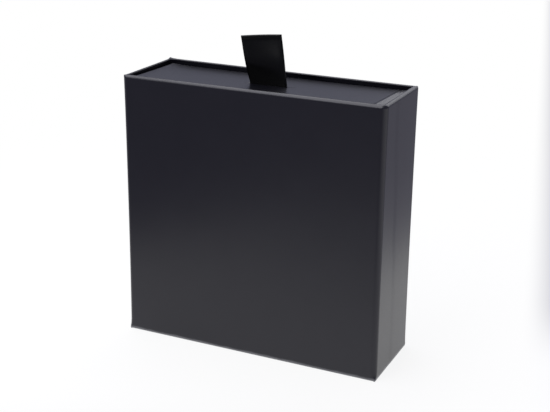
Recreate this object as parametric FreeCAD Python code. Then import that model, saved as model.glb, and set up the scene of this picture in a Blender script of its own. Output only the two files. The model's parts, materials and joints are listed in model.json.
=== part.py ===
import FreeCAD, Part
import math
import os

# Rigid slide box: a wrapped greyboard sleeve, closed at its foot and open at its mouth, and a
# wrapped tray that draws out of the mouth by a folded ribbon tab.
# Units are millimetres. +Z points out of the mouth, -Y out of the sleeve's front panel.
# The origin is the middle of the foot.

Vector = FreeCAD.Vector

# ---- sleeve -------------------------------------------------------------------------------
sleeve_width = 150.0        # outside, along X
sleeve_depth = 49.5         # outside, along Y
sleeve_height = 149.5       # foot to rim
sleeve_board = 2.0          # greyboard of the four walls
end_board = 2.0             # greyboard of the closed end
front_corner_radius = 2.8   # outside radius of the two upright edges at the front
back_corner_radius = 2.0    # and of the two at the back
foot_radius = 0.8           # outside radius of the edge round the foot
rim_outer_radius = 1.4      # radius of the folded rim towards the outside
rim_inner_radius = 0.4      # radius of the folded rim towards the drawer
rim_turn_in = 18.0          # wrap folded over the rim and glued inside
foot_turn_under = 12.0      # wrap folded under the closed end
foot_cover_inset = 2.4      # cover sheet set back from the sleeve's outline

# ---- papers -------------------------------------------------------------------------------
wrap_paper = 0.2            # soft-touch cover paper of sleeve and drawer
lining_paper = 0.2          # plain black paper inside the sleeve and on the drawer's floor
stay_tape = 0.12            # corner tape pressed into the board under the wrap
stay_leg = 12.0             # reach of the tape along each wall of a corner
stay_end_gap = 6.0          # tape stops this short of both ends of its corner

# ---- drawer -------------------------------------------------------------------------------
drawer_board = 2.0          # greyboard of the tray
tray_edge_radius = 2.0      # outside radius of the tray's folded edges
side_clearance = 1.3        # tray to sleeve lining, each side along X
depth_clearance = 0.5       # tray to sleeve lining, each side along Y
seat_clearance = 0.3        # tray to the lining of the closed end
face_recess = 0.85          # pull face below the rim at the tray's open side
face_fall = 1.7             # how much lower the pull face lies at the tray's floor side

# ---- ribbon -------------------------------------------------------------------------------
ribbon_width = 21.2
ribbon_leaf = 0.35          # thickness of one ply of ribbon
ribbon_height = 25.9        # free length of the folded tab
ribbon_x = 2.0              # middle of the tab, right of the middle of the pull face
ribbon_setback = 17.6       # slot behind the tray's open side
ribbon_tail = 9.0           # length of each ply glued under the pull face
ribbon_swell = 1.5          # thickness of the soft loop below the fold
ribbon_lean = 9.4           # degrees the tab leans towards -X
ribbon_twist = 23.0         # degrees the fold is turned about Z
slot_clearance = 0.25       # cut in the pull face round the two plies
pivot_clearance = 0.3       # root of the tab above the pull face
patch_paper = 0.25          # cover patch over the glued tails
patch_margin = 3.0          # patch beyond the tails, each way

# ---- derived ------------------------------------------------------------------------------
sleeve_wall = wrap_paper + sleeve_board + lining_paper
board_outer_x = sleeve_width / 2 - wrap_paper
board_outer_y = sleeve_depth / 2 - wrap_paper
board_inner_x = board_outer_x - sleeve_board
board_inner_y = board_outer_y - sleeve_board
cavity_x = board_inner_x - lining_paper
cavity_y = board_inner_y - lining_paper

wrap_bottom = wrap_paper
boards_bottom = wrap_bottom + wrap_paper
end_top = boards_bottom + end_board
cavity_bottom = end_top + lining_paper
boards_top = sleeve_height - wrap_paper
turn_in_end = sleeve_height - rim_turn_in

tray_x = cavity_x - side_clearance
tray_y = cavity_y - depth_clearance
tray_bottom = cavity_bottom + seat_clearance
tray_front_top = sleeve_height - face_recess
tray_wall = wrap_paper + drawer_board + wrap_paper
face_slope = face_fall / (2 * tray_y)
face_angle = math.degrees(math.atan(face_slope))

ribbon_y = ribbon_setback - tray_y
tab_thickness = 2 * ribbon_leaf
pivot_height = ribbon_leaf + pivot_clearance
tab_steps = 8               # straight runs up the tab
same_place = 1e-6           # points closer than this are one point


# ---- shape helpers ------------------------------------------------------------------------
def block(x0, x1, y0, y1, z0, z1):
    return Part.makeBox(x1 - x0, y1 - y0, z1 - z0, Vector(x0, y0, z0))


def centred_block(half_x, half_y, z0, z1):
    return block(-half_x, half_x, -half_y, half_y, z0, z1)


def edges_where(shape, test):
    """Edges whose ends and middle all pass the test."""
    found = []
    for edge in shape.Edges:
        middle = edge.valueAt((edge.FirstParameter + edge.LastParameter) / 2)
        points = [vertex.Point for vertex in edge.Vertexes] + [middle]
        if all(test(point) for point in points):
            found.append(edge)
    return found


def rounded_block(half_x, half_y, z0, z1, inset):
    """Box with its four upright edges round, its skin set in from the sleeve's by the inset."""
    front = front_corner_radius - inset
    back = back_corner_radius - inset
    runs = []
    for side_x, side_y, radius, first in ((1, -1, front, -90), (1, 1, back, 0),
                                          (-1, 1, back, 90), (-1, -1, front, 180)):
        middle = Vector(side_x * (half_x - radius), side_y * (half_y - radius), z0)
        turns = [math.radians(first + turn) for turn in (0, 45, 90)]
        runs.append([middle + Vector(radius * math.cos(turn), radius * math.sin(turn), 0)
                     for turn in turns])
    edges = []
    for before, after in zip(runs[-1:] + runs, runs):
        edges += [Part.makeLine(before[2], after[0]), Part.Arc(*after).toShape()]
    return Part.Face(Part.Wire(edges)).extrude(Vector(0, 0, z1 - z0))


def at_height(z):
    return lambda point: abs(point.z - z) < same_place


def rounded_tube(outer_x, outer_y, inner_x, inner_y, z0, z1, inset):
    """Box tube with round upright edges, a round foot edge outside and a round rim.

    The inset is how far the tube's skin lies inside the sleeve's.
    """
    shape = rounded_block(outer_x, outer_y, z0, z1, inset)
    shape = shape.makeFillet(foot_radius - inset, edges_where(shape, at_height(z0)))
    shape = shape.makeFillet(rim_outer_radius - inset, edges_where(shape, at_height(z1)))
    shape = shape.cut(centred_block(inner_x, inner_y, z0, z1))

    def on_inner_rim(point):
        inside = abs(point.x) < inner_x + same_place and abs(point.y) < inner_y + same_place
        return inside and at_height(z1)(point)

    return shape.makeFillet(rim_inner_radius - inset, edges_where(shape, on_inner_rim))


def joined(solids):
    shape = solids[0]
    for other in solids[1:]:
        shape = shape.fuse(other)
    return shape.removeSplitter()


def save(name, shape):
    shape.exportStep("parts/" + name + ".step")
    print(name, len(shape.Solids), round(shape.Volume, 1), shape.isValid())


# ---- sleeve -------------------------------------------------------------------------------
def board_tube():
    return rounded_tube(board_outer_x, board_outer_y, board_inner_x, board_inner_y,
                        boards_bottom, boards_top, wrap_paper)


def sleeve_corner_stays():
    """Tape bent round each upright corner of the boards, under the wrap."""
    z0 = boards_bottom + stay_end_gap
    z1 = boards_top - stay_end_gap
    skin = rounded_block(board_outer_x, board_outer_y, z0, z1, wrap_paper)
    core = rounded_block(board_outer_x - stay_tape, board_outer_y - stay_tape, z0, z1,
                         wrap_paper + stay_tape)
    layer = skin.cut(core)
    strips = []
    for side_x in (-1, 1):
        for side_y in (-1, 1):
            corner = centred_block(stay_leg, stay_leg, z0, z1)
            corner.translate(Vector(side_x * board_outer_x, side_y * board_outer_y, 0))
            strips.append(layer.common(corner))
    return Part.makeCompound(strips)


def sleeve_end_stays():
    """Tape in the angle between the closed end and each wall, under the lining."""
    runs = []
    for half_run, reach, turned in ((board_inner_y - stay_end_gap, board_inner_x, 0),
                                    (board_inner_x - stay_end_gap, board_inner_y, 90)):
        upper = block(reach, reach + stay_tape, -half_run, half_run, end_top - stay_tape, end_top + stay_leg)
        lower = block(reach - stay_leg, reach, -half_run, half_run, end_top - stay_tape, end_top)
        strip = joined([upper, lower])
        for half_turn in (0, 180):
            copy = strip.copy()
            copy.rotate(Vector(0, 0, 0), Vector(0, 0, 1), turned + half_turn)
            runs.append(copy)
    return Part.makeCompound(runs)


def sleeve_wrap(tube):
    """Cover paper: outside of the walls, over the rim, down inside it and under the foot."""
    skin = rounded_tube(sleeve_width / 2, sleeve_depth / 2, cavity_x, cavity_y,
                        wrap_bottom, sleeve_height, 0)
    skin = skin.cut(tube)
    skin = skin.cut(centred_block(board_inner_x, board_inner_y, boards_bottom, turn_in_end))
    under = centred_block(cavity_x, cavity_y, wrap_bottom, boards_bottom)
    window_x = sleeve_width / 2 - foot_turn_under
    window_y = sleeve_depth / 2 - foot_turn_under
    under = under.cut(centred_block(window_x, window_y, wrap_bottom, boards_bottom))
    return joined([skin, under])


def make_sleeve():
    tube = board_tube()
    corner_stays = sleeve_corner_stays()
    end_stays = sleeve_end_stays()
    walls = tube.cut(corner_stays).cut(end_stays)
    between = (-board_inner_y, board_inner_y, boards_bottom, boards_top)
    across = (-board_outer_x, board_outer_x)
    tall = (boards_bottom, boards_top)
    save("sleeve_front_board", walls.common(block(*across, -board_outer_y, -board_inner_y, *tall)))
    save("sleeve_back_board", walls.common(block(*across, board_inner_y, board_outer_y, *tall)))
    save("sleeve_left_board", walls.common(block(-board_outer_x, -board_inner_x, *between)))
    save("sleeve_right_board", walls.common(block(board_inner_x, board_outer_x, *between)))
    end = centred_block(board_inner_x, board_inner_y, boards_bottom, end_top)
    save("sleeve_end_board", end.cut(end_stays))
    save("sleeve_corner_stays", corner_stays)
    save("sleeve_end_stays", end_stays)
    save("sleeve_wrap", sleeve_wrap(tube))
    cover_x = sleeve_width / 2 - foot_cover_inset
    cover_y = sleeve_depth / 2 - foot_cover_inset
    save("sleeve_foot_cover", centred_block(cover_x, cover_y, 0, wrap_bottom))
    lining = centred_block(board_inner_x, board_inner_y, end_top, turn_in_end)
    save("sleeve_wall_lining", lining.cut(centred_block(cavity_x, cavity_y, end_top, turn_in_end)))
    save("sleeve_end_lining", centred_block(cavity_x, cavity_y, end_top, cavity_bottom))


# ---- drawer -------------------------------------------------------------------------------
def face_z(y):
    """Height of the pull face, which falls from the open side to the floor side."""
    return tray_front_top - face_slope * (y + tray_y)


def tray_prism(side, open_side, floor_side, rear, face):
    """Block of the tray with each side set in from the tray's outside."""
    y0 = -tray_y + open_side
    y1 = tray_y - floor_side
    z0 = tray_bottom + rear
    drop = face / math.cos(math.radians(face_angle))
    corners = [Vector(0, y0, z0), Vector(0, y1, z0)]
    corners += [Vector(0, y1, face_z(y1) - drop), Vector(0, y0, face_z(y0) - drop)]
    outline = Part.Face(Part.makePolygon(corners + corners[:1]))
    prism = outline.extrude(Vector(2 * (tray_x - side), 0, 0))
    prism.translate(Vector(side - tray_x, 0, 0))
    return prism


def soft_prism(inset):
    """The same block set in evenly, with every edge rounded."""
    prism = tray_prism(inset, inset, inset, inset, inset)
    return prism.makeFillet(tray_edge_radius - inset, prism.Edges)


def on_face(shape):
    """Carry a shape from the frame of the ribbon's slot to its place on the pull face."""
    shape.rotate(Vector(0, 0, 0), Vector(1, 0, 0), -face_angle)
    shape.translate(Vector(ribbon_x, ribbon_y, face_z(ribbon_y)))
    return shape


def slot_cutter():
    half_width = ribbon_width / 2 + slot_clearance
    half_gap = tab_thickness / 2 + slot_clearance
    return on_face(centred_block(half_width, half_gap, -2 * tray_wall, tray_wall))


def tail_flaps():
    half_run = tab_thickness / 2 + ribbon_tail
    return centred_block(ribbon_width / 2, half_run, -tray_wall - ribbon_leaf, -tray_wall)


def ribbon_tails():
    """Both plies through the slot, then glued apart under the pull face."""
    stem = centred_block(ribbon_width / 2, tab_thickness / 2, -tray_wall, 0)
    return on_face(joined([stem, tail_flaps()]))


def ribbon_patch():
    half_x = ribbon_width / 2 + patch_margin
    half_y = tab_thickness / 2 + ribbon_tail + patch_margin
    sheet = centred_block(half_x, half_y, -tray_wall - ribbon_leaf - patch_paper, -tray_wall)
    return on_face(sheet.cut(tail_flaps()))


def drawer_corner_stays():
    """Tape bent round the four corners where the side boards meet face and rear."""
    y0 = -tray_y + stay_end_gap
    y1 = tray_y - stay_end_gap
    layer = soft_prism(wrap_paper).cut(soft_prism(wrap_paper + stay_tape))
    strips = []
    for side_x in (-1, 1):
        for z0, z1 in ((tray_bottom, tray_bottom + stay_leg), (face_z(y1) - stay_leg, tray_front_top)):
            near = side_x * (tray_x - stay_leg)
            far = side_x * tray_x
            corner = block(min(near, far), max(near, far), y0, y1, z0, z1)
            strips.append(layer.common(corner))
    return Part.makeCompound(strips)


def drawer_wrap(shell, slot):
    """Cover paper: outside of the tray, over its open edge and down the inside of the walls."""
    skin = soft_prism(0).cut(shell)
    beyond = -tray_wall
    hollow = tray_prism(tray_wall, beyond, wrap_paper + drawer_board, tray_wall, tray_wall)
    return skin.cut(hollow).cut(slot)


def make_drawer():
    layer = wrap_paper + drawer_board
    beyond = -tray_wall
    shell = soft_prism(wrap_paper).cut(tray_prism(layer, beyond, layer, layer, layer))
    slot = slot_cutter()
    save("drawer_wrap", drawer_wrap(shell, slot))
    stays = drawer_corner_stays()
    boards = shell.cut(stays).cut(slot)
    inner_x = tray_x - layer
    inner_y = tray_y - layer
    tall = (tray_bottom, tray_front_top)
    walls = (-tray_y, inner_y)
    middle = (tray_bottom + layer + face_z(tray_y)) / 2
    save("drawer_floor_board", boards.common(block(-tray_x, tray_x, inner_y, tray_y, *tall)))
    save("drawer_left_board", boards.common(block(-tray_x, -inner_x, *walls, *tall)))
    save("drawer_right_board", boards.common(block(inner_x, tray_x, *walls, *tall)))
    save("drawer_rear_board", boards.common(block(-inner_x, inner_x, *walls, tray_bottom, middle)))
    save("drawer_face_board", boards.common(block(-inner_x, inner_x, *walls, middle, tray_front_top)))
    save("drawer_corner_stays", stays)
    sheet = tray_prism(tray_wall, beyond, layer, tray_wall, tray_wall)
    sheet = sheet.common(block(-tray_x, tray_x, inner_y - lining_paper, inner_y, *tall))
    save("drawer_floor_sheet", sheet)
    save("ribbon_tails", ribbon_tails())
    save("ribbon_patch", ribbon_patch())


# ---- ribbon tab ---------------------------------------------------------------------------
def tab_section(height, thickness):
    """Rectangle across the tab at a height above its pivot, leaned, twisted and tilted."""
    part_way = max(height / ribbon_height, 0)
    lean = math.radians(ribbon_lean)
    twist = math.radians(ribbon_twist) * part_way
    tilt = lean / 2 * part_way
    centre = Vector(ribbon_x - height * math.sin(lean), ribbon_y,
                    face_z(ribbon_y) + pivot_height + height * math.cos(lean))
    across = Vector(math.cos(twist) * math.cos(tilt), math.sin(twist) * math.cos(tilt), math.sin(tilt))
    through = Vector(-math.sin(twist), math.cos(twist), 0)
    half_w = across * (ribbon_width / 2)
    half_t = through * (thickness / 2)
    corners = [centre - half_w - half_t, centre + half_w - half_t]
    corners += [centre + half_w + half_t, centre - half_w + half_t]
    return Part.makePolygon(corners + corners[:1])


def pull_ribbon():
    """Folded tab: two plies together at the root, a soft loop under the fold."""
    sections = [tab_section(-ribbon_leaf, ribbon_leaf / 2)]
    for step in range(tab_steps + 1):
        part_way = step / tab_steps
        swell = (ribbon_swell - tab_thickness) * math.sin(math.pi * part_way ** 2)
        sections.append(tab_section(ribbon_height * part_way, tab_thickness + swell))
    return Part.makeLoft(sections, True, True)


os.makedirs("parts", exist_ok=True)
make_sleeve()
make_drawer()
save("pull_ribbon", pull_ribbon())
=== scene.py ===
import json
import math

import bpy
from mathutils import Matrix, Vector, noise


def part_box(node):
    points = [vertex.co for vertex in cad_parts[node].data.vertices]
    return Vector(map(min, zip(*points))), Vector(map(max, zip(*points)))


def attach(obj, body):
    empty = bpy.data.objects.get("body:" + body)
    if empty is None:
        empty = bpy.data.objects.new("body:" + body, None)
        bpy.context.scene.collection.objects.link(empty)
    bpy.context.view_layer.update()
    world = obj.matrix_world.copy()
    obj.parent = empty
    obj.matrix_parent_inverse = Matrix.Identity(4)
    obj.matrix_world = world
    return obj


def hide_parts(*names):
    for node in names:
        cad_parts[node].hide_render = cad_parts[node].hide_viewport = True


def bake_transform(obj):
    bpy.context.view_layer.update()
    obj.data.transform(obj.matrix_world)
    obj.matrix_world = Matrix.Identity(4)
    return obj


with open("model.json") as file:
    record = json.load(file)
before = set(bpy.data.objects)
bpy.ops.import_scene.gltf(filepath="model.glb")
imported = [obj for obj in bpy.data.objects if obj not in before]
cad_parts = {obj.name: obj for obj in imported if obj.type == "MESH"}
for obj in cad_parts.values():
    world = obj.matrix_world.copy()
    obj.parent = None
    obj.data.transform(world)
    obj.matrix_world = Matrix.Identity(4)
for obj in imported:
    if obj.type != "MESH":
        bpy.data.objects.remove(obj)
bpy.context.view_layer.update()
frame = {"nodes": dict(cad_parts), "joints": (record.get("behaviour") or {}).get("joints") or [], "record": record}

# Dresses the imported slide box: its cover papers as thin folded sheets with soft rims, peaked
# corners and a lapped seam, the pull as one folded satin ribbon, and a finish for every piece.
# Lengths are in metres in the row frame: the sleeve stands on z = 0 and its front faces -Y.

MM = 0.001

# ---- places read from the frame ------------------------------------------------------------
WRAP_LOW, WRAP_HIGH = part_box("sleeve_wrap")
BOARDS_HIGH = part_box("sleeve_front_board")[1]
CAVITY_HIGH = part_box("sleeve_end_lining")[1]
TURN_IN_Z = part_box("sleeve_wall_lining")[1].z
TRAY_LOW, TRAY_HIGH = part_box("drawer_wrap")
TRAY_FLOOR_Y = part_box("drawer_floor_sheet")[1].y
TRAY_INNER_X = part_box("drawer_floor_sheet")[1].x
TAILS_LOW, TAILS_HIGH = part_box("ribbon_tails")
PIVOT = Vector(next(j for j in frame["joints"] if j["name"] == "ribbon_fold")["pos_m"])

PAPER = WRAP_HIGH.z - BOARDS_HIGH.z
SLEEVE_X = WRAP_HIGH.x
SLEEVE_Y = WRAP_HIGH.y
RIM_Z = WRAP_HIGH.z
FOOT_Z = WRAP_LOW.z
SLEEVE_WALL = SLEEVE_X - CAVITY_HIGH.x
TRAY_X = TRAY_HIGH.x
TRAY_Y = TRAY_HIGH.y
TRAY_Z0 = TRAY_LOW.z
TRAY_WALL = TRAY_X - TRAY_INNER_X

# The pull face slopes down to the floor side, and its highest point is on the round of its front
# edge. TRAY_Z1 is the height of its plane, carried on to the front of the tray.
TRAY_ROUND = 2.0 * MM         # round of the tray's folded edges
TRAY_BACK_ROUND = 1.2 * MM    # and of the folded edge at the floor side
FACE_FALL = 1.7 * MM          # how much lower the pull face lies at the floor side
FACE_SLOPE = FACE_FALL / (2 * TRAY_Y)
TRAY_Z1 = TRAY_HIGH.z + TRAY_ROUND * FACE_SLOPE * (1 + FACE_SLOPE / 2)

# ---- the camera: the photograph's angle ----------------------------------------------------
PHOTO_WIDTH = 550             # pixels
FOCAL_PIXELS = 1131.9         # focal length in pixels of that width
SENSOR_WIDTH = 36.0           # mm
CAMERA_AZIMUTH = 24.76        # degrees
CAMERA_ELEVATION = 19.34
CAMERA_ROLL = 0.65
CAMERA_TARGET = Vector((4.636, 0.0, 79.76)) * MM
CAMERA_DISTANCE = 619.4 * MM

# ---- shape of the sleeve's cover -----------------------------------------------------------
SUPPORT = 0.35 * MM           # flat strip kept beside each round
TIGHT_CORNER = 0.3 * MM       # smallest round of a folded corner
TURNED_IN = 1.5 * MM          # inset at which a sheet no longer follows the outer wall
TINY = 0.01 * MM              # less than any step of a path

# Round of the upright edges: front right, back right, back left, front left.
SLEEVE_CORNERS = (3.0 * MM, 1.6 * MM, 2.0 * MM, 2.6 * MM)
FOOT_CORNERS = (0.6 * MM, 0.8 * MM, 1.6 * MM, 1.0 * MM)    # the same at the foot
FOOT_CORNER_RISE = 4.0 * MM   # height over which the folded corner of the foot opens
INNER_CORNER = 1.5 * MM       # round of the corners at the drawer's side of the rim
RIM_OUTER = 1.4 * MM          # round of the rim towards the outside
RIM_INNER = 0.6 * MM          # and towards the drawer

FOOT_IN = 0.7 * MM            # the edge about the foot turns in this far
FOOT_RISE = 2.2 * MM          # over this height
FOOT_TURN = 12.0 * MM         # paper turned under the foot
FOOT_SHARP = 0.65             # share of the foot's round that the right wall does without

FLARE = 0.14 * MM             # walls stand proud near both ends
WAIST = 0.12 * MM             # and sink a little half way up
SINK_LIMIT = 0.14 * MM        # the cover's outside stays outside the boards
SWELL = 0.03 * MM             # slow unevenness of the pasted paper
SWELL_SIZE = 45.0 * MM        # from one swell to the next
RIGHT_FLARE = 0.25 * MM       # the foot of the right wall stands further out
RIGHT_FLARE_LOSS = 0.8        # share of that flare lost at the rim
LEFT_FLARE = 0.45 * MM        # so does the foot of the left wall

# Height and place of the lapped seam down the right wall, in mm.
SEAM_LINE = [(0.0, -1.5), (38.0, -1.5), (56.0, -2.3), (73.0, -3.9), (90.0, -4.6), (107.0, -5.4),
             (123.0, -7.7), (150.0, -8.2)]
SEAM_STEP = 0.1 * MM          # thickness that shows at the seam
SEAM_HALF = 1.5 * MM          # the step spreads this far to both sides of its line
SEAM_FADE = (1.25, 0.25)      # shares of the wall's half depth over which the step appears

LEFT_SINK = 0.17 * MM         # the rim of the left wall is worn softer
LEFT_SINK_IN = (2.04 * MM, 0.84 * MM)    # insets over which that begins
FRONT_SINK = 0.15 * MM        # the front of the rim is pressed rounder
BACK_RISE = 0.36 * MM         # the back rim rises towards its left end
BACK_RISE_RUN = (0.5, -1.5)   # over these shares of the half width
BACK_RISE_HIGH = 3.0 * MM     # height below the rim that rises with it
RIM_SHARP = 0.1               # share of the rim's round that the right wall does without
PEAK_SHARP = 0.85             # and that the front left corner does without
PEAK_WIDTH = 2.2 * MM         # width of that corner's peak
RIM_TILT = 0.37 * MM          # the right rim slopes down this far to the outside
RIM_TILT_LOW = 0.12 * MM      # of which this much lies below its level
FRONT_TILT = 0.22 * MM        # the right half of the front rim is this much higher inside
FRONT_TILT_RUN = (0.0, 0.625)    # it begins over these shares of the half width

# Ears of folded paper at the rim, in mm: signs of the corner, how far in from the corner the ear
# stands along X and Y, its height and its width.
EARS = [(-1, -1, 0.2, 0.5, 0.9, 1.0), (-1, 1, 1.6, 0.6, 0.7, 0.875), (1, 1, 0.5, 0.5, 0.7, 0.625),
        (1, -1, 0.6, 0.6, -0.15, 1.5)]
EAR_HIGH = 2.0 * MM           # height below the rim at which an ear starts
EAR_IN = (1.82 * MM, 0.42 * MM)    # insets over which it grows

# ---- shape of the drawer's cover -----------------------------------------------------------
SLOT_X = PIVOT.x
SLOT_Y = PIVOT.y
RIBBON_WIDTH = TAILS_HIGH.x - TAILS_LOW.x
SLOT_SPARE = 0.25 * MM        # the slot is this much longer than the ribbon at each end
SLOT_HALF_X = RIBBON_WIDTH / 2 + SLOT_SPARE
SLOT_HALF_Y = 0.6 * MM
LIP_ROUND = 0.5 * MM          # inner round of the tray's open edge
TRAY_SWELL = 0.03 * MM        # slow unevenness of the tray's paper
TRAY_SWELL_SIZE = 30.0 * MM
TRAY_PRESS = 0.02 * MM        # the paper lies this far inside the even outline
TURN_IN_GAP = 0.05 * MM       # the turned-in paper ends this far off the floor sheet
TURN_IN_STRIP = 1.0 * MM      # and has its first cut here

LAP_IN = 1.8 * MM             # the face paper ends this far inside the tray's right wall
LAP_X = TRAY_INNER_X - LAP_IN
LAP_HALF = 0.14 * MM          # half width of the groove along its edge
LAP_SLOPE = 0.06 * MM         # and of each of its flanks
LAP_SHADE_WIDTH = 1.3 * MM           # width of the painted shade beside it, given as a duller sheen
# Depth of the groove, along Y, in mm.
LAP_DEPTHS = [(-21.9, 0.18), (-17.0, 0.17), (-13.0, 0.15), (4.0, 0.15), (10.0, 0.17), (21.9, 0.18)]
# How far the strip beyond the lap lies below the plane of the face, along X, in mm.
STRIP_DROPS = [(66.9, -0.46), (69.1, 0.04), (69.62, 0.15), (70.1, 0.32), (70.51, 0.5), (70.83, 0.75),
               (71.03, 1.2)]
STRIP_RUN = (20.0 * MM, 8.0 * MM)    # towards the front, the strip sinks between these places

FACE_SAG = 0.1 * MM           # the paper of the pull face lies in towards the floor side
FACE_SAG_RUN = (2.0 * MM, 8.0 * MM)    # at these distances from the lap
FACE_TIP = 0.2 * MM           # its last few mm turn up
FACE_TIP_RUN = 6.0 * MM
CURL_LEFT = 1.1 * MM          # and it lifts off the board at its left end there
CURL_LEFT_RUN = 6.5 * MM
CURL_RIGHT = 0.4 * MM         # and at its right end
CURL_RIGHT_RUN = 7.0 * MM
CURL_POWER = 1.7              # how late the curl grows from the front edge to the floor side

# ---- shape of the ribbon -------------------------------------------------------------------
RIBBON_LEAF = 0.35 * MM       # thickness of one ply
RIBBON_LOOK = 0.9             # share of it given to the sheet, so that the plies don't touch
RIBBON_RISE = 25.5 * MM       # free height of the folded tab
RIBBON_LEAN = math.radians(9.4)
RIBBON_TWIST = math.radians(23.0)
RIBBON_TILT = math.radians(2.4)
RIBBON_TAIL = 9.0 * MM        # run of each ply glued under the pull face
TAIL_TURN = 0.4 * MM          # round of the bend from the slot into the tail
BEAD = 0.62 * MM              # radius of the soft loop at the fold, to the middle of the ply
BEAD_FROM = -50               # angle in degrees at which a ply joins the loop
NECK_DROP = 2.3 * MM          # pressed line below the fold
BELLY = 0.58 * MM             # each ply stands this far from the middle of the tab
BELLY_POWER = 1.6             # how high up the belly sits
PRESSED = 0.2 * MM            # offset of a ply where both lie together
PINCH = 0.55                  # share of the belly lost along the ribbon's edges
PINCH_FROM = 0.8              # place across the half width at which that starts
ARCH = 0.2 * MM               # rise of the middle of the fold
BOW_WAY = Vector((0.42, -0.91, 0.0))    # the tab curves out this way; folded, it clears the rim
BOW_LOW = 0.12                # slope of its lower part outwards
BOW_HIGH = -0.24              # and of its top, which comes back
BOW_TURN = 0.3                # share of the height at which it starts to turn
BOW_SPAN = 0.35               # and over which it turns
ASIDE = 0.25 * MM             # it steps to the left just above its root
ASIDE_END = 0.25              # share of the height at which that step is done

# ---- numbers of cuts in the sheets ---------------------------------------------------------
SLEEVE_CUTS_X = 36
SLEEVE_CUTS_Y = 22
SLEEVE_CORNER_CUTS = 10
WALL_CUTS = 48
EDGE_CUTS = 8
SMALL_CUTS = 6                # small rounds and short flat runs
TRAY_CUTS_Z = 24
TRAY_LONG_CUTS = 14
FACE_RIGHT_CUTS = 12          # from the slot to the lap
FACE_END_STRIP = 6.0 * MM     # the first wide cut at the left end
LIP_CUTS = 4                  # the tightest rounds
RIBBON_CUTS = 16
RIBBON_EDGE_POWER = 0.8       # below 1 the cuts lie closer to the ribbon's edges
NECK_CUTS = 24
BEAD_STEP = 14                # degrees

# ---- paper, floor and light ----------------------------------------------------------------
PAPER_SHEEN = 0.54            # specular level of the laminated paper
SHADED_SHEEN = 0.14             # and where shade is painted as a duller sheen
FOOT_GLOW_HEIGHT = 1.0 * MM        # height of the painted reflection of the floor along the foot
FOOT_GLOW_RAGGED = 2.4 * MM        # and how uneven its upper edge is
MASK_EDGE = 0.1 * MM          # the painted shade ends this far off the face it belongs to
LAP_SHADE_HIGH = 4.0 * MM      # height below the rim down to which shade is painted beside the lap

LEFT_MARGIN = 0.057           # white floor kept beyond the left side of the camera's view
RIGHT_MARGIN = 0.008          # and beyond the right side
MARGIN_FADE = (-0.02, 0.02)    # distances from those margins over which the greys begin
# Distances away from the camera, from a line across the view through the middle of the box.
FRONT_FADE = (-0.36, -0.065)    # from the grey floor in front to the white
LEFT_BACK_FADE = (-0.08, 0.04)    # from the left side's grey to its paler back part
RIGHT_BACK_FADE = (-0.04, 0.06)    # from the right side's pale front part to its grey back part
CORNER_FADE = (75, -5)        # degrees about the front right corner over which the grey begins
# Painted shade on the floor round the camera's view, bluish greys that the box's walls reflect.
LEFT_PAINTED_SHADE = (0.29, 0.285, 0.36)
LEFT_BACK_PAINTED_SHADE = (0.55, 0.55, 0.62)
RIGHT_PAINTED_SHADE = (0.35, 0.345, 0.42)
RIGHT_FRONT_PAINTED_SHADE = (0.97, 0.97, 1.0)
FLOOR_WHITE = 0.97
FLOOR_SIZE = 6.0              # half side
SHADOW_SHARE = 0.12           # share of the lit floor, with its shadow, beside its plain white
SHADOW_FADE = (0.1, 0.5)      # distances over which that share ends

SKY_COLOUR = (0.8, 0.82, 1.05)
SKY_STRENGTH = 0.36
LIGHTS = [  # name, place, point that it faces, width, height, radiance
    ("top_light", (-0.45, -0.35, 1.3), (-0.45, -0.35, 0.0), 0.9, 2.9, 3.1),
    ("rear_light", (0.22, 1.15, 0.74), (0, 0, 0.1), 1.06, 0.55, 1.22),
    ("front_light", (-0.62, -1.35, 0.66), (0, 0, 0.1), 0.8, 0.8, 0.8),
]


# ---- curves and lines ----------------------------------------------------------------------
def smooth(value):
    """Eased step from 0 to 1."""
    value = min(max(value, 0.0), 1.0)
    return value * value * (3 - 2 * value)


def eased(value, start, end):
    """0 where the value is at start, 1 where it is at end, and an eased step between."""
    return smooth((value - start) / (end - start))


def bell(distance, width):
    return math.exp(-(distance / width) ** 2)


def spaced(first, last, cuts):
    return [first + (last - first) * k / cuts for k in range(cuts + 1)]


def quarter(cuts):
    """Angles of a quarter turn."""
    return [math.pi / 2 * k / cuts for k in range(cuts + 1)]


def arc(centre_in, centre_z, radius, first, last, cuts):
    """Points (inset, height) of an arc; angle 0 faces outwards and 90 up."""
    angles = [math.radians(angle) for angle in spaced(first, last, cuts)]
    return [(centre_in - radius * math.cos(t), centre_z + radius * math.sin(t)) for t in angles]


def along_line(line, place):
    """Value at a place on a line of (place, value) pairs in mm, in metres."""
    place = min(max(place / MM, line[0][0]), line[-1][0])
    for (a0, b0), (a1, b1) in zip(line, line[1:]):
        if place <= a1:
            return (b0 + (b1 - b0) * (place - a0) / (a1 - a0)) * MM


def outer_share(inset):
    """1 on the outside of a wall, eased to 0 where the paper has turned in over an edge."""
    return eased(inset, TURNED_IN, 0.0)


def face_z(y):
    """Height of the pull face at a distance along Y."""
    return TRAY_Z1 - FACE_SLOPE * (y + TRAY_Y)


# ---- mesh helpers --------------------------------------------------------------------------
def piece(name, points, faces, material, thickness=0.0):
    """A smooth-shaded mesh object, given the thickness of its paper on its inner side."""
    mesh = bpy.data.meshes.new(name)
    mesh.from_pydata([tuple(p) for p in points], [], faces)
    mesh.polygons.foreach_set("use_smooth", [True] * len(mesh.polygons))
    mesh.materials.append(material)
    mesh.update()
    made = bpy.data.objects.new(name, mesh)
    bpy.context.scene.collection.objects.link(made)
    if thickness:
        solid = made.modifiers.new("paper", "SOLIDIFY")
        solid.thickness = thickness
        solid.offset = -1.0
        solid.use_even_offset = True
    return made


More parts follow.
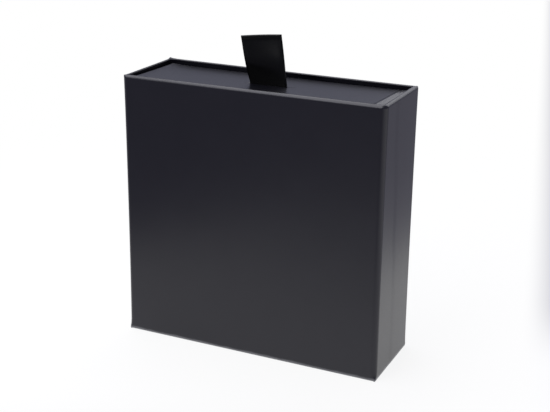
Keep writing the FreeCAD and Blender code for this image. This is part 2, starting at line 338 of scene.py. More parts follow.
def ring_faces(rings, count, skip=()):
    """Quads between closed rings of equal count, leaving out the (ring, step) pairs in skip."""
    faces = []
    for ring in range(rings - 1):
        for step in range(count):
            if (ring, step) in skip:
                continue
            after = (step + 1) % count
            low = ring * count
            high = low + count
            faces.append((low + step, low + after, high + after, high + step))
    return faces


def side_fractions(length, cuts):
    """Positions from 0 to 1 along a side, with a close pair at each end."""
    near = SUPPORT / length
    return [0.0] + spaced(near, 1 - near, cuts) + [1.0]


def rounded_outline(half_a, half_b, radii, fractions_a, fractions_b, corner_cuts):
    """Counter-clockwise outline of a rounded rectangle, as (a, b, normal_a, normal_b, side).

    The sides are 0 to 3, from the one that faces -b. The radii belong to the corners at the
    ends of the sides in turn, and such a corner has its side's number plus a half.
    """
    sides = [((-1, -1), (1, 0), (0, -1), fractions_a), ((1, -1), (0, 1), (1, 0), fractions_b),
             ((1, 1), (-1, 0), (0, 1), fractions_a), ((-1, 1), (0, -1), (-1, 0), fractions_b)]
    outline = []
    for index, (start, along, normal, fractions) in enumerate(sides):
        before = radii[index - 1]
        radius = radii[index]
        length = 2 * (abs(along[0]) * half_a + abs(along[1]) * half_b)
        for fraction in fractions:
            way = before + (length - before - radius) * fraction
            outline.append((start[0] * half_a + along[0] * way, start[1] * half_b + along[1] * way,
                            normal[0], normal[1], index))
        corner_a = start[0] * half_a + along[0] * (length - radius) - normal[0] * radius
        corner_b = start[1] * half_b + along[1] * (length - radius) - normal[1] * radius
        first = math.atan2(normal[1], normal[0])
        for angle in quarter(corner_cuts)[1:-1]:
            na = math.cos(first + angle)
            nb = math.sin(first + angle)
            outline.append((corner_a + radius * na, corner_b + radius * nb, na, nb, index + 0.5))
    return outline


# ---- node material helpers -----------------------------------------------------------------
class Finish:
    """A material with one Principled shader, and short ways to add and join its nodes."""

    def __init__(self, name):
        self.material = bpy.data.materials.new(name)
        self.material.use_nodes = True
        self.tree = self.material.node_tree
        self.shader = self.tree.nodes["Principled BSDF"]
        self.place = self.add("ShaderNodeTexCoord").outputs["Object"]

    def add(self, kind, **settings):
        node = self.tree.nodes.new(kind)
        for key, value in settings.items():
            setattr(node, key, value)
        return node

    def link(self, source, target):
        self.tree.links.new(source, target)

    def drive(self, socket, source):
        self.link(source, self.shader.inputs[socket])

    def set(self, **sockets):
        for name, value in sockets.items():
            self.shader.inputs[name.replace("_", " ")].default_value = value

    def scaled(self, scale, vector=None):
        mapping = self.add("ShaderNodeMapping")
        mapping.inputs["Scale"].default_value = scale
        self.link(vector or self.place, mapping.inputs["Vector"])
        return mapping.outputs["Vector"]

    def turned(self, degrees):
        """The place turned about the upright axis."""
        mapping = self.add("ShaderNodeMapping")
        mapping.inputs["Rotation"].default_value = (0, 0, math.radians(degrees))
        self.link(self.place, mapping.inputs["Vector"])
        return mapping.outputs["Vector"]

    def split(self, vector):
        """The three coordinates of a vector."""
        node = self.add("ShaderNodeSeparateXYZ")
        self.link(vector, node.inputs["Vector"])
        return node.outputs["X"], node.outputs["Y"], node.outputs["Z"]

    def noise(self, scale, detail=2.0, rough=0.5, vector=None):
        node = self.add("ShaderNodeTexNoise")
        node.inputs["Scale"].default_value = scale
        node.inputs["Detail"].default_value = detail
        node.inputs["Roughness"].default_value = rough
        self.link(vector or self.place, node.inputs["Vector"])
        return node.outputs["Fac"]

    def math(self, operation, *values):
        node = self.add("ShaderNodeMath", operation=operation)
        for socket, value in zip(node.inputs, values):
            if isinstance(value, (int, float)):
                socket.default_value = value
            else:
                self.link(value, socket)
        return node.outputs["Value"]

    def all_of(self, first, *others):
        """Product of several masks."""
        for other in others:
            first = self.math("MULTIPLY", first, other)
        return first

    def inverse(self, mask):
        return self.math("SUBTRACT", 1.0, mask)

    def tinted(self, colour, other):
        """Product of a colour with another colour."""
        node = self.add("ShaderNodeVectorMath", operation="MULTIPLY")
        self.link(colour, node.inputs[0])
        if isinstance(other, tuple):
            node.inputs[1].default_value = other
        else:
            self.link(other, node.inputs[1])
        return node.outputs["Vector"]

    def mixed(self, factor, first, second):
        """Colour that goes from first to second as the factor goes from 0 to 1."""
        apart = self.add("ShaderNodeVectorMath", operation="SUBTRACT")
        apart.inputs[0].default_value = second
        self.link(first, apart.inputs[1])
        node = self.add("ShaderNodeVectorMath", operation="MULTIPLY_ADD")
        self.link(apart.outputs["Vector"], node.inputs[0])
        self.link(factor, node.inputs[1])
        self.link(first, node.inputs[2])
        return node.outputs["Vector"]

    def fade(self, source, first, last):
        """Eased 0 to 1 as source goes from first to last."""
        node = self.add("ShaderNodeMapRange", interpolation_type="SMOOTHSTEP")
        node.inputs["From Min"].default_value = first
        node.inputs["From Max"].default_value = last
        self.link(source, node.inputs["Value"])
        return node.outputs["Result"]

    def ramp(self, source, *stops):
        """Colour ramp through (position, colour) stops."""
        node = self.add("ShaderNodeValToRGB")
        while len(node.color_ramp.elements) < len(stops):
            node.color_ramp.elements.new(0.5)
        for element, (position, colour) in zip(node.color_ramp.elements, stops):
            element.position = position
            element.color = (*colour, 1.0)
        self.link(source, node.inputs["Fac"])
        return node.outputs["Color"]

    def bump(self, source, strength, distance, after=None):
        node = self.add("ShaderNodeBump")
        node.inputs["Strength"].default_value = strength
        node.inputs["Distance"].default_value = distance
        self.link(source, node.inputs["Height"])
        if after is not None:
            self.link(after, node.inputs["Normal"])
        return node.outputs["Normal"]


def grey(value):
    return (value, value, value)


# ---- materials -----------------------------------------------------------------------------
def shaded_parts(look):
    """Mask of painted shade, given as a duller sheen: inside the mouth round the drawer, and a strip beside the
    lap.
    """
    x, y, z = look.split(look.place)
    plan = look.add("ShaderNodeVectorMath", operation="ABSOLUTE")
    look.link(look.place, plan.inputs[0])
    far_x, far_y, _ = look.split(plan.outputs["Vector"])
    past_x = look.math("GREATER_THAN", far_x, TRAY_X + MASK_EDGE)
    past_y = look.math("GREATER_THAN", far_y, TRAY_Y + MASK_EDGE)
    within_x = look.math("LESS_THAN", far_x, CAVITY_HIGH.x + MASK_EDGE)
    within_y = look.math("LESS_THAN", far_y, CAVITY_HIGH.y + MASK_EDGE)
    mouth = look.all_of(look.math("MAXIMUM", past_x, past_y), look.math("MINIMUM", within_x, within_y))
    off_lap_strip = look.math("ABSOLUTE", look.math("SUBTRACT", x, LAP_X - LAP_SHADE_WIDTH / 2))
    on_lap_strip = look.math("LESS_THAN", off_lap_strip, LAP_SHADE_WIDTH / 2)
    on_tray = look.math("LESS_THAN", far_y, TRAY_Y)
    on_face = look.math("GREATER_THAN", z, RIM_Z - LAP_SHADE_HIGH)
    return look.math("MAXIMUM", mouth, look.all_of(on_lap_strip, on_tray, on_face))


def soft_touch_paper():
    """Matt laminated paper: a dense blue-black with faint mottling and a fine tooth, with painted light: a pale
    fringe along the foot, a duller sheen where shade is painted, and a blue tint on its reflections.
    """
    look = Finish("soft_touch_paper")
    mottle = look.noise(60.0, detail=3.0)
    plain = look.ramp(mottle, (0.3, (0.002, 0.002, 0.0045)), (0.7, (0.0035, 0.0035, 0.006)))
    # Painted reflection of the floor: the colour turns towards grey in a ragged fringe along the foot, where the
    # rounded foot edge faces the white floor.
    ragged = look.noise(90.0, detail=4.0, rough=0.6)
    glow_reach = look.math("MULTIPLY_ADD", ragged, FOOT_GLOW_RAGGED, FOOT_GLOW_HEIGHT)
    height = look.split(look.place)[2]
    painted_glow = look.inverse(look.math("DIVIDE", height, glow_reach))
    look.drive("Base Color", look.mixed(look.math("MAXIMUM", painted_glow, 0.0), plain, grey(0.3)))
    tooth = look.noise(2600.0, detail=2.0)
    look.drive("Roughness", look.ramp(tooth, (0.3, grey(0.28)), (0.7, grey(0.35))))
    look.drive("Normal", look.bump(tooth, strength=0.12, distance=0.03 * MM))
    # Painted shade: the sheen is lowered inside the mouth and beside the lap, where shade falls.
    sheen = look.math("MULTIPLY_ADD", shaded_parts(look), SHADED_SHEEN - PAPER_SHEEN, PAPER_SHEEN)
    look.drive("Specular IOR Level", sheen)
    # Painted light: a blue tint on the reflections stands in for bluish light around the box.
    look.set(Specular_Tint=(0.93, 0.92, 1.0, 1.0))
    return look.material


def lining_paper():
    """Plain uncoated black paper with visible fibre."""
    look = Finish("lining_paper")
    fibre = look.noise(900.0, detail=6.0, rough=0.65, vector=look.scaled((1.0, 1.0, 0.35)))
    look.drive("Base Color", look.ramp(fibre, (0.35, grey(0.006)), (0.7, grey(0.011))))
    look.drive("Normal", look.bump(fibre, strength=0.25, distance=0.06 * MM))
    look.set(Roughness=0.85, Specular_IOR_Level=0.25)
    return look.material


def greyboard():
    """Recycled board: grey-brown pulp with darker flecks."""
    look = Finish("greyboard")
    pulp = look.noise(1400.0, detail=8.0, rough=0.7)
    fleck = (0.25, (0.2, 0.18, 0.155))
    middle = (0.5, (0.33, 0.31, 0.28))
    pale = (0.75, (0.42, 0.4, 0.36))
    look.drive("Base Color", look.ramp(pulp, fleck, middle, pale))
    look.drive("Normal", look.bump(pulp, strength=0.4, distance=0.1 * MM))
    look.set(Roughness=0.9, Specular_IOR_Level=0.3)
    return look.material


def stay_tape():
    """Gummed kraft tape with long fibres."""
    look = Finish("stay_tape")
    fibre = look.noise(700.0, detail=5.0, rough=0.6, vector=look.scaled((1.0, 1.0, 0.2)))
    look.drive("Base Color", look.ramp(fibre, (0.3, (0.42, 0.3, 0.18)), (0.7, (0.6, 0.46, 0.3))))
    look.drive("Normal", look.bump(fibre, strength=0.3, distance=0.06 * MM))
    look.set(Roughness=0.75)
    return look.material


def satin_ribbon():
    """Black satin: fine weft ribs across the ribbon and a soft sheen along it."""
    look = Finish("satin_ribbon")
    cloth = look.add("ShaderNodeUVMap", uv_map="cloth").outputs["UV"]
    ribs = look.add("ShaderNodeTexWave", bands_direction="Y")
    ribs.inputs["Scale"].default_value = 900.0
    ribs.inputs["Distortion"].default_value = 0.5
    ribs.inputs["Detail"].default_value = 1.0
    look.link(cloth, ribs.inputs["Vector"])
    yarn = look.noise(1500.0, detail=3.0, rough=0.6, vector=look.scaled((2.0, 0.15, 1.0), cloth))
    look.drive("Base Color", look.ramp(yarn, (0.3, grey(0.0003)), (0.7, grey(0.0009))))
    ribbed = look.bump(ribs.outputs["Fac"], strength=0.15, distance=0.04 * MM)
    look.drive("Normal", look.bump(yarn, strength=0.2, distance=0.04 * MM, after=ribbed))
    look.set(Roughness=0.28, Specular_IOR_Level=0.17)
    return look.material


# ---- sleeve cover --------------------------------------------------------------------------
RIGHT_SIDE = 1                # number of the right wall in the sleeve's outline


def sleeve_stations():
    """Path of the cover paper as (inset from the outside, height): foot, wall, rim, inside."""
    path = [(FOOT_TURN, FOOT_Z), (FOOT_IN + SUPPORT, FOOT_Z)]
    foot = [(inset, FOOT_Z + (height - FOOT_Z) * FOOT_RISE / FOOT_IN)
            for inset, height in arc(FOOT_IN, FOOT_Z + FOOT_IN, FOOT_IN, -90, 0, EDGE_CUTS)]
    rim_out = arc(RIM_OUTER, RIM_Z - RIM_OUTER, RIM_OUTER, 0, 90, EDGE_CUTS)
    rim_in = arc(SLEEVE_WALL - RIM_INNER, RIM_Z - RIM_INNER, RIM_INNER, 90, 180, SMALL_CUTS)
    wall = [(0.0, z) for z in spaced(foot[-1][1] + SUPPORT, rim_out[0][1] - SUPPORT, WALL_CUTS)]
    inside = [RIM_Z - RIM_INNER - SUPPORT] + spaced(RIM_Z, TURN_IN_Z, SMALL_CUTS)[1:]
    return path + foot + wall + rim_out + rim_in + [(SLEEVE_WALL, z) for z in inside]


def corner_radii(inset, z):
    """Rounds of the four upright edges at a height and a depth into the wall."""
    opened = eased(z, FOOT_Z, FOOT_Z + FOOT_CORNER_RISE)
    inner = INNER_CORNER * eased(inset, SLEEVE_WALL / 2, SLEEVE_WALL)
    if z < RIM_Z / 2:
        inner = 0.0
    return [max(foot + (radius - foot) * opened - inset, TIGHT_CORNER, inner)
            for radius, foot in zip(SLEEVE_CORNERS, FOOT_CORNERS)]


def wall_bulge(a, b, na, side, z):
    """How far the pasted paper stands off its even wall."""
    up = (z - FOOT_Z) / (RIM_Z - FOOT_Z)
    off_middle = abs(2 * up - 1)
    bulge = FLARE * off_middle ** 4 - WAIST * (1 - off_middle ** 2)
    swell = noise.noise(Vector((a, b, z)) / SWELL_SIZE)
    bulge += SWELL * swell * (1 - off_middle ** 8)
    if side == RIGHT_SIDE:
        step = eased(b - along_line(SEAM_LINE, z), -SEAM_HALF, SEAM_HALF) - 0.5
        bulge += SEAM_STEP * step * eased(abs(b) / SLEEVE_Y, *SEAM_FADE)
    bulge += RIGHT_FLARE * max(na, 0.0) ** 2 * (1 - RIGHT_FLARE_LOSS * up)
    bulge += LEFT_FLARE * max(-na, 0.0) * (1 - up) ** 2
    return max(bulge, -SINK_LIMIT)


def foot_sharpness(na, nb):
    """Share of the foot's round left out: some on the right wall, all in the folded corners."""
    return max(FOOT_SHARP * max(na, 0.0) ** 2, min(4 * (na * nb) ** 2, 1.0))


def rim_sharpness(a, b, na):
    """Share of the rim's round left out: a little on the right wall, most at the front left."""
    peak = bell((Vector((a, b)) - Vector((-SLEEVE_X, -SLEEVE_Y))).length, PEAK_WIDTH)
    return max(RIM_SHARP * max(na, 0.0) ** 2, PEAK_SHARP * peak)


def rim_height(a, na, nb, inset, z):
    """Height of a point of the rim, with the slopes and the wear of its four sides."""
    right = max(na, 0.0) ** 2
    left = max(-na, 0.0) ** 2
    back = max(nb, 0.0) ** 2
    front = max(-nb, 0.0) ** 2
    z -= LEFT_SINK * left * eased(z, RIM_Z - RIM_OUTER, RIM_Z) * eased(inset, *LEFT_SINK_IN)
    into = min(inset / SLEEVE_WALL, 1.0)
    upper = eased(z, RIM_Z - RIM_OUTER, RIM_Z)
    z += (RIM_TILT * into - RIM_TILT_LOW) * right * upper
    z += FRONT_TILT * into * front * eased(a / SLEEVE_X, *FRONT_TILT_RUN) * upper
    rise = BACK_RISE * back * eased(a / SLEEVE_X, *BACK_RISE_RUN)
    return z + rise * eased(z, RIM_Z - BACK_RISE_HIGH, RIM_Z)


def with_ears(a, b, inset, z):
    """Height of a point of the rim, raised near the ears of its corners."""
    for sign_x, sign_y, in_x, in_y, height, width in EARS:
        corner = Vector((sign_x * (SLEEVE_X - in_x * MM), sign_y * (SLEEVE_Y - in_y * MM)))
        near = bell((Vector((a, b)) - corner).length, width * MM)
        z += height * MM * near * eased(z, RIM_Z - EAR_HIGH, RIM_Z) * eased(inset, *EAR_IN)
    return z


def sleeve_point(a, b, na, nb, side, inset, z):
    """A point of the outline moved for the unevenness of hand-wrapped paper."""
    push = wall_bulge(a, b, na, side, z) * outer_share(inset)
    if z < FOOT_Z + FOOT_RISE and inset <= FOOT_IN:
        push += inset * foot_sharpness(na, nb)
    drop = (RIM_Z - z) / RIM_OUTER
    if 0 <= drop <= 1 and inset <= RIM_OUTER + TINY:
        sharp = rim_sharpness(a, b, na)
        push += inset * sharp
        z += drop * RIM_OUTER * sharp
    x = a + na * push
    y = b + nb * push
    if 0 < drop < 1 and inset < RIM_OUTER:
        # On the outer round, where the front's sink is full half way up.
        lift = 1 - drop
        sink = FRONT_SINK * max(-nb, 0.0) ** 2 * 4 * lift * lift * (1 - lift * lift)
        y -= nb * sink * math.sqrt(1 - lift * lift)
        z -= sink * lift
    z = rim_height(a, na, nb, inset, z)
    return Vector((x, y, with_ears(a, b, inset, z)))


def make_sleeve_cover(material):
    along = side_fractions(2 * SLEEVE_X, SLEEVE_CUTS_X)
    across = side_fractions(2 * SLEEVE_Y, SLEEVE_CUTS_Y)
    stations = sleeve_stations()
    points = []
    for inset, z in stations:
        outline = rounded_outline(SLEEVE_X - inset, SLEEVE_Y - inset, corner_radii(inset, z),
                                  along, across, SLEEVE_CORNER_CUTS)
        points += [sleeve_point(*mark, inset, z) for mark in outline]
    faces = ring_faces(len(stations), len(outline))
    cover = piece("sleeve_cover", points, faces, material, PAPER)
    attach(cover, "sleeve")
    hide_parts("sleeve_wrap")


# ---- drawer cover --------------------------------------------------------------------------
FACE_SIDE = 0                 # number of the pull face in the tray's outline
FACE_END = 0.5                # and of the round at its right end


def tray_stations():
    """Path of the tray's paper as (inset, y): inner walls, open edge, outer walls, floor edge."""
    back = TRAY_BACK_ROUND
    inner = [TRAY_FLOOR_Y - TURN_IN_GAP]
    inner += spaced(TRAY_FLOOR_Y - TURN_IN_STRIP, -TRAY_Y + LIP_ROUND + SUPPORT, TRAY_LONG_CUTS)
    lip_in = [(TRAY_WALL - LIP_ROUND * (1 - math.cos(t)), -TRAY_Y + LIP_ROUND * (1 - math.sin(t)))
              for t in quarter(LIP_CUTS)]
    lip_out = [(TRAY_ROUND * (1 - math.sin(t)), -TRAY_Y + TRAY_ROUND * (1 - math.cos(t)))
               for t in quarter(SMALL_CUTS)]
    outer = spaced(-TRAY_Y + TRAY_ROUND + SUPPORT, SLOT_Y - SLOT_HALF_Y, SMALL_CUTS)
    outer += spaced(SLOT_Y + SLOT_HALF_Y, TRAY_Y - back - SUPPORT, TRAY_LONG_CUTS)
    floor_edge = [(back * (1 - math.cos(t)), TRAY_Y - back * (1 - math.sin(t)))
                  for t in quarter(SMALL_CUTS)]
    path = [(TRAY_WALL, y) for y in inner] + lip_in + lip_out + [(0.0, y) for y in outer]
    return path + floor_edge + [(back + SUPPORT, TRAY_Y)]


def face_marks():
    """Places of the cuts along the pull face, from its left end to its right end."""
    end = TRAY_X - TRAY_ROUND
    groove = LAP_HALF + LAP_SLOPE
    marks = [-end, -end + SUPPORT]
    marks += spaced(-end + FACE_END_STRIP, SLOT_X - SLOT_HALF_X, TRAY_LONG_CUTS)
    marks += spaced(SLOT_X + SLOT_HALF_X, LAP_X - 3 * LAP_HALF, FACE_RIGHT_CUTS)
    marks += [LAP_X - groove, LAP_X - LAP_HALF, LAP_X + LAP_HALF, LAP_X + groove]
    return marks + [LAP_X + LAP_HALF + SUPPORT, end - SUPPORT, end]


def tray_ring(inset, y):
    """Outline of the tray in the XZ plane at one y, seen from the floor side."""
    z0 = TRAY_Z0 + inset
    z1 = face_z(y) - inset
    marks = face_marks()
    fractions = [(mark - marks[0]) / (marks[-1] - marks[0]) for mark in marks]
    upright = side_fractions(TRAY_Z1 - TRAY_Z0, TRAY_CUTS_Z)
    radius = max(TRAY_ROUND - inset, TIGHT_CORNER)
    ring = rounded_outline(TRAY_X - inset, (z1 - z0) / 2, [radius] * 4, fractions, upright,
                           SMALL_CUTS)
    return [(a, (z0 + z1) / 2 - b, na, -nb, side) for a, b, na, nb, side in ring]


def face_curl(x, y):
    """How far the paper of the pull face stands above its plane."""
    back = ((y + TRAY_Y) / (2 * TRAY_Y)) ** CURL_POWER
    curl = CURL_LEFT * math.exp(-(x + TRAY_X) / CURL_LEFT_RUN)
    curl += CURL_RIGHT * math.exp((x - TRAY_X) / CURL_RIGHT_RUN)
    curl -= FACE_SAG * eased(LAP_X - x, *FACE_SAG_RUN)
    return curl * back + FACE_TIP * eased(y, TRAY_Y - FACE_TIP_RUN, TRAY_Y)


def strip_lift(x):
    """How far the strip beyond the lap stands above the evenly rounded edge."""
    along = max(x - TRAY_X + TRAY_ROUND, 0.0)
    fall = TRAY_ROUND - math.sqrt(TRAY_ROUND ** 2 - min(along, TRAY_ROUND) ** 2)
    return fall - along_line(STRIP_DROPS, x)


def tray_point(a, z, na, nz, side, inset, y):
    """A point of the tray's outline moved for the lap, the curl and the swell of its paper."""
    place = Vector((a, y, z))
    outer = outer_share(inset)
    push = TRAY_SWELL * noise.noise(place / TRAY_SWELL_SIZE) * outer - TRAY_PRESS
    if side == FACE_SIDE and abs(a - LAP_X) < LAP_HALF + LAP_SLOPE / 2:
        push = -along_line(LAP_DEPTHS, y) * outer
    lift = face_curl(a, y) * max(nz, 0.0) if z > RIM_Z / 2 else 0.0
    if side in (FACE_SIDE, FACE_END) and a > LAP_X + LAP_HALF:
        lift += strip_lift(a + inset * na) * outer * eased(y, *STRIP_RUN)
    return place + Vector((na, 0, nz)) * push + Vector((0, 0, lift))


def slot_face(stations, ring):
    """The (ring, step) pair of the face that the ribbon's slot leaves open."""
    slot_ring = next(k for k, (inset, y) in enumerate(stations)
                     if inset == 0 and abs(y - (SLOT_Y - SLOT_HALF_Y)) < TINY)
    on_face = [k for k, mark in enumerate(ring) if mark[-1] == FACE_SIDE]
    return slot_ring, min(on_face, key=lambda k: abs(ring[k][0] - (SLOT_X - SLOT_HALF_X)))


def make_drawer_cover(material):
    stations = tray_stations()
    points = []
    for inset, y in stations:
        ring = tray_ring(inset, y)
        points += [tray_point(*mark, inset, y) for mark in ring]
    faces = ring_faces(len(stations), len(ring), {slot_face(stations, ring)})
    faces.append(tuple(range(len(points) - len(ring), len(points))))    # closes the floor side
    cover = piece("drawer_cover", points, faces, material, PAPER)
    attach(cover, "drawer")
    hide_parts("drawer_wrap")


# ---- ribbon --------------------------------------------------------------------------------
def tab_bow(part):
    """How far the tab stands out over the front at a share of its height."""
    turned = max(part - BOW_TURN, 0.0) / BOW_SPAN
    bent = turned ** 3 - turned ** 4 / 2 if turned < 1 else turned - 0.5
    return RIBBON_RISE * (BOW_LOW * part + (BOW_HIGH - BOW_LOW) * BOW_SPAN * bent)


def tab_place(height, offset, across):
    """A point of the tab from its height above the pivot, its offset through the tab and its
    place across it from -1 to 1."""
    free = max(height, 0.0)
    part = free / RIBBON_RISE
    twist = RIBBON_TWIST * part
    tilt = RIBBON_TILT * part
    rise = PIVOT.z + height * math.cos(RIBBON_LEAN)
    aside = PIVOT.x - free * math.sin(RIBBON_LEAN) - ASIDE * eased(part, 0.0, ASIDE_END)
    centre = Vector((aside, PIVOT.y, rise)) + BOW_WAY * tab_bow(part)
    side = Vector((math.cos(twist) * math.cos(tilt), math.sin(twist) * math.cos(tilt),
                   math.sin(tilt)))
    through = Vector((-math.sin(twist), math.cos(twist), 0))
    return centre + side * (across * RIBBON_WIDTH / 2) + through * offset


def half_path():
    """One ply from its glued end to the top of the fold, as (height, offset) in the tab."""
    root = -(PIVOT.z - face_z(PIVOT.y)) - TRAY_WALL - RIBBON_LEAF / 2
    path = [(root, PRESSED + TAIL_TURN + run) for run in spaced(RIBBON_TAIL, 0.0, SMALL_CUTS)]
    path += [(root + TAIL_TURN * (1 - math.cos(t)), PRESSED + TAIL_TURN * (1 - math.sin(t)))
             for t in quarter(LIP_CUTS)[1:]]
    neck = RIBBON_RISE - NECK_DROP
    for height in spaced(root + TAIL_TURN, neck, NECK_CUTS)[1:]:
        part = max(height, 0.0) / neck
        belly = (BELLY - PRESSED) * math.sin(math.pi * part ** BELLY_POWER)
        path.append((height, PRESSED + belly))
    loop = RIBBON_RISE - BEAD - RIBBON_LEAF / 2
    for angle in range(BEAD_FROM, 91, BEAD_STEP):
        t = math.radians(angle)
        path.append((loop + BEAD * math.sin(t), BEAD * math.cos(t)))
    return path


def ribbon_row(height, offset):
    """Places across the ribbon at one step of its path, as (across from -1 to 1, point)."""
    part = max(height / RIBBON_RISE, 0.0)
    swollen = math.sin(math.pi * min(part, 1.0)) ** 0.5
    row = []
    for place in spaced(-1.0, 1.0, RIBBON_CUTS):
        across = math.copysign(abs(place) ** RIBBON_EDGE_POWER, place)
        pinch = 1 - PINCH * eased(abs(across), PINCH_FROM, 1.0) * swollen
        rise = height + ARCH * (1 - across ** 2) * part ** 3
        row.append((across, tab_place(rise, offset * pinch, across)))
    return row


def ribbon_faces(rows):
    wide = RIBBON_CUTS + 1
    lows = [row * wide + cut for row in range(rows - 1) for cut in range(RIBBON_CUTS)]
    return [(low, low + 1, low + wide + 1, low + wide) for low in lows]


def make_ribbon(material):
    half = half_path()
    path = [(height, -offset) for height, offset in half] + half[-2::-1]
    middles = [tab_place(height, offset, 0) for height, offset in path]
    points = []
    uvs = []
    run = 0.0
    for index, (height, offset) in enumerate(path):
        if index:
            run += (middles[index] - middles[index - 1]).length
        for across, point in ribbon_row(height, offset):
            points.append(point)
            uvs.append((across * RIBBON_WIDTH / 2, run))
    ribbon = piece("pull_tab", points, ribbon_faces(len(path)), material)
    solid = ribbon.modifiers.new("ply", "SOLIDIFY")
    solid.thickness = RIBBON_LEAF * RIBBON_LOOK
    solid.offset = 0.0
    layer = ribbon.data.uv_layers.new(name="cloth")
    for loop in ribbon.data.loops:
        layer.data[loop.index].uv = uvs[loop.vertex_index]
    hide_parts("pull_ribbon", "ribbon_tails")
    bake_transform(ribbon)


# ---- camera, floor and light ---------------------------------------------------------------
def make_camera():
    azimuth = math.radians(CAMERA_AZIMUTH)
    elevation = math.radians(CAMERA_ELEVATION)
    back = Vector((math.sin(azimuth) * math.cos(elevation),
                   -math.cos(azimuth) * math.cos(elevation),
                   math.sin(elevation)))
    data = bpy.data.cameras.new("camera")
    data.sensor_width = SENSOR_WIDTH
    data.lens = FOCAL_PIXELS * SENSOR_WIDTH / PHOTO_WIDTH
    data.clip_start = 0.01
    data.clip_end = 50.0
    camera = bpy.data.objects.new("camera", data)
    bpy.context.scene.collection.objects.link(camera)
    roll = Matrix.Rotation(math.radians(CAMERA_ROLL), 3, "Z").to_quaternion()
    camera.rotation_mode = "QUATERNION"
    camera.rotation_quaternion = (-back).to_track_quat("-Z", "Y") @ roll
    camera.location = CAMERA_TARGET + back * CAMERA_DISTANCE
    bpy.context.scene.camera = camera


def view_half_width(look, away):
    """Half width of the camera's view on the floor, at a distance away from the box's middle."""
    elevation = math.radians(CAMERA_ELEVATION)
    wide = PHOTO_WIDTH / 2 / FOCAL_PIXELS
    depth = CAMERA_DISTANCE + CAMERA_TARGET.z * math.sin(elevation)
    return look.math("MULTIPLY_ADD", away, wide * math.cos(elevation), wide * depth)


def moved(fade, distance):
    """The two ends of a fade, both moved by a distance."""
    return [end + distance for end in fade]


def painted_floor_light(look):
    """Painted light on the floor: white where the camera looks from the photograph's angle, and painted shade in
    greys around that, which the box's walls reflect.
    """
    across, away, _ = look.split(look.turned(-CAMERA_AZIMUTH))
    across_left = look.math("MULTIPLY", across, -1.0)
    half_view = view_half_width(look, away)
    beyond_right = look.math("SUBTRACT", across, half_view)
    beyond_left = look.math("SUBTRACT", across_left, half_view)
    right = look.fade(beyond_right, *moved(MARGIN_FADE, RIGHT_MARGIN))
    left = look.fade(beyond_left, *moved(MARGIN_FADE, LEFT_MARGIN))
    front = look.all_of(look.inverse(look.fade(away, *FRONT_FADE)), round_corner(look))
    left_back = look.all_of(left, look.fade(away, *LEFT_BACK_FADE))
    left_front = look.math("MAXIMUM", look.math("SUBTRACT", left, left_back), front)
    behind = look.fade(away, *RIGHT_BACK_FADE)
    colour = look.ramp(left_front, (0.0, grey(1.0)), (1.0, LEFT_PAINTED_SHADE))
    for mask, tint in ((look.all_of(right, behind), RIGHT_PAINTED_SHADE),
                       (look.all_of(right, look.inverse(behind)), RIGHT_FRONT_PAINTED_SHADE),
                       (left_back, LEFT_BACK_PAINTED_SHADE)):
        colour = look.tinted(colour, look.ramp(mask, (0.0, grey(1.0)), (1.0, tint)))
    return colour


def round_corner(look):
    """1 in front of the box, eased to 0 round its front right corner."""
    x, y, _ = look.split(look.place)
    right_of = look.math("SUBTRACT", x, SLEEVE_X)
    before = look.math("SUBTRACT", -SLEEVE_Y, y)
    return look.fade(look.math("ARCTAN2", right_of, before), *map(math.radians, CORNER_FADE))


def white_share(look):
    """Share of plain white floor that camera, glossy and transmission rays see."""
    path = look.add("ShaderNodeLightPath")
    seen = look.math("MAXIMUM", path.outputs["Is Camera Ray"], path.outputs["Is Glossy Ray"])
    seen = look.math("MAXIMUM", seen, path.outputs["Is Transmission Ray"])
    away = look.add("ShaderNodeVectorMath", operation="LENGTH")
    look.link(look.place, away.inputs[0])
    beyond = look.fade(away.outputs["Value"], *SHADOW_FADE)
    return look.all_of(seen, look.math("MULTIPLY_ADD", beyond, SHADOW_SHARE, 1 - SHADOW_SHARE))


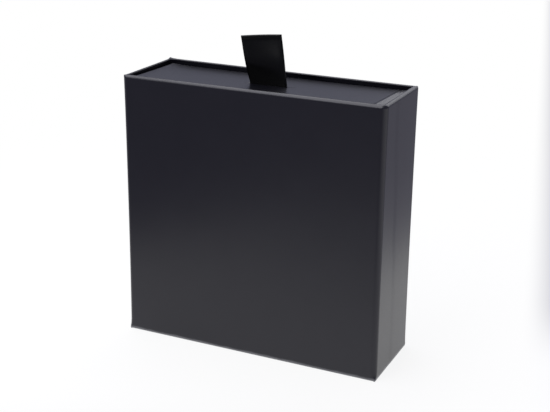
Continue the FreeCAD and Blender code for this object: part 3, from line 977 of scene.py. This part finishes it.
def floor_finish():
    """Pale floor that keeps a faint shadow and otherwise shows its painted light and shade."""
    look = Finish("floor")
    colour = painted_floor_light(look)
    look.drive("Base Color", look.tinted(colour, grey(FLOOR_WHITE)))
    look.set(Roughness=0.9, Specular_IOR_Level=0.1)
    glow = look.add("ShaderNodeEmission")
    look.link(colour, glow.inputs["Color"])
    mix = look.add("ShaderNodeMixShader")
    look.link(white_share(look), mix.inputs["Fac"])
    look.link(look.shader.outputs["BSDF"], mix.inputs[1])
    look.link(glow.outputs["Emission"], mix.inputs[2])
    look.link(mix.outputs["Shader"], look.tree.nodes["Material Output"].inputs["Surface"])
    return look.material


def make_floor():
    side = FLOOR_SIZE
    mesh = bpy.data.meshes.new("floor")
    mesh.from_pydata([(-side, -side, 0), (side, -side, 0), (side, side, 0), (-side, side, 0)],
                     [], [(0, 1, 2, 3)])
    mesh.materials.append(floor_finish())
    floor = bpy.data.objects.new("floor", mesh)
    bpy.context.scene.collection.objects.link(floor)


def area_light(name, place, target, width, height, radiance):
    """A soft rectangle of light; radiance is what a mirror facing it would show."""
    data = bpy.data.lights.new(name, "AREA")
    data.shape = "RECTANGLE"
    data.size = width
    data.size_y = height
    data.energy = radiance * math.pi * width * height
    light = bpy.data.objects.new(name, data)
    bpy.context.scene.collection.objects.link(light)
    light.location = place
    light.rotation_mode = "QUATERNION"
    light.rotation_quaternion = (Vector(target) - Vector(place)).to_track_quat("-Z", "Y")


def make_world():
    world = bpy.data.worlds.new("world")
    bpy.context.scene.world = world
    world.use_nodes = True
    sky = world.node_tree.nodes["Background"]
    sky.inputs["Color"].default_value = (*SKY_COLOUR, 1.0)
    sky.inputs["Strength"].default_value = SKY_STRENGTH


# ---- build ---------------------------------------------------------------------------------
make_camera()
make_floor()
make_world()
for light_values in LIGHTS:
    area_light(*light_values)

FINISHES = {
    "soft_touch_paper": soft_touch_paper(),
    "lining_paper": lining_paper(),
    "greyboard": greyboard(),
    "stay_tape": stay_tape(),
    "satin_ribbon": satin_ribbon(),
}
for part in frame["record"]["subparts"]:
    node = frame["nodes"][part["node"]]
    node.data.materials.clear()
    node.data.materials.append(FINISHES[part["material_slot"]])

make_sleeve_cover(FINISHES["soft_touch_paper"])
make_drawer_cover(FINISHES["soft_touch_paper"])
make_ribbon(FINISHES["satin_ribbon"])

bpy.context.scene.view_settings.view_transform = "Standard"
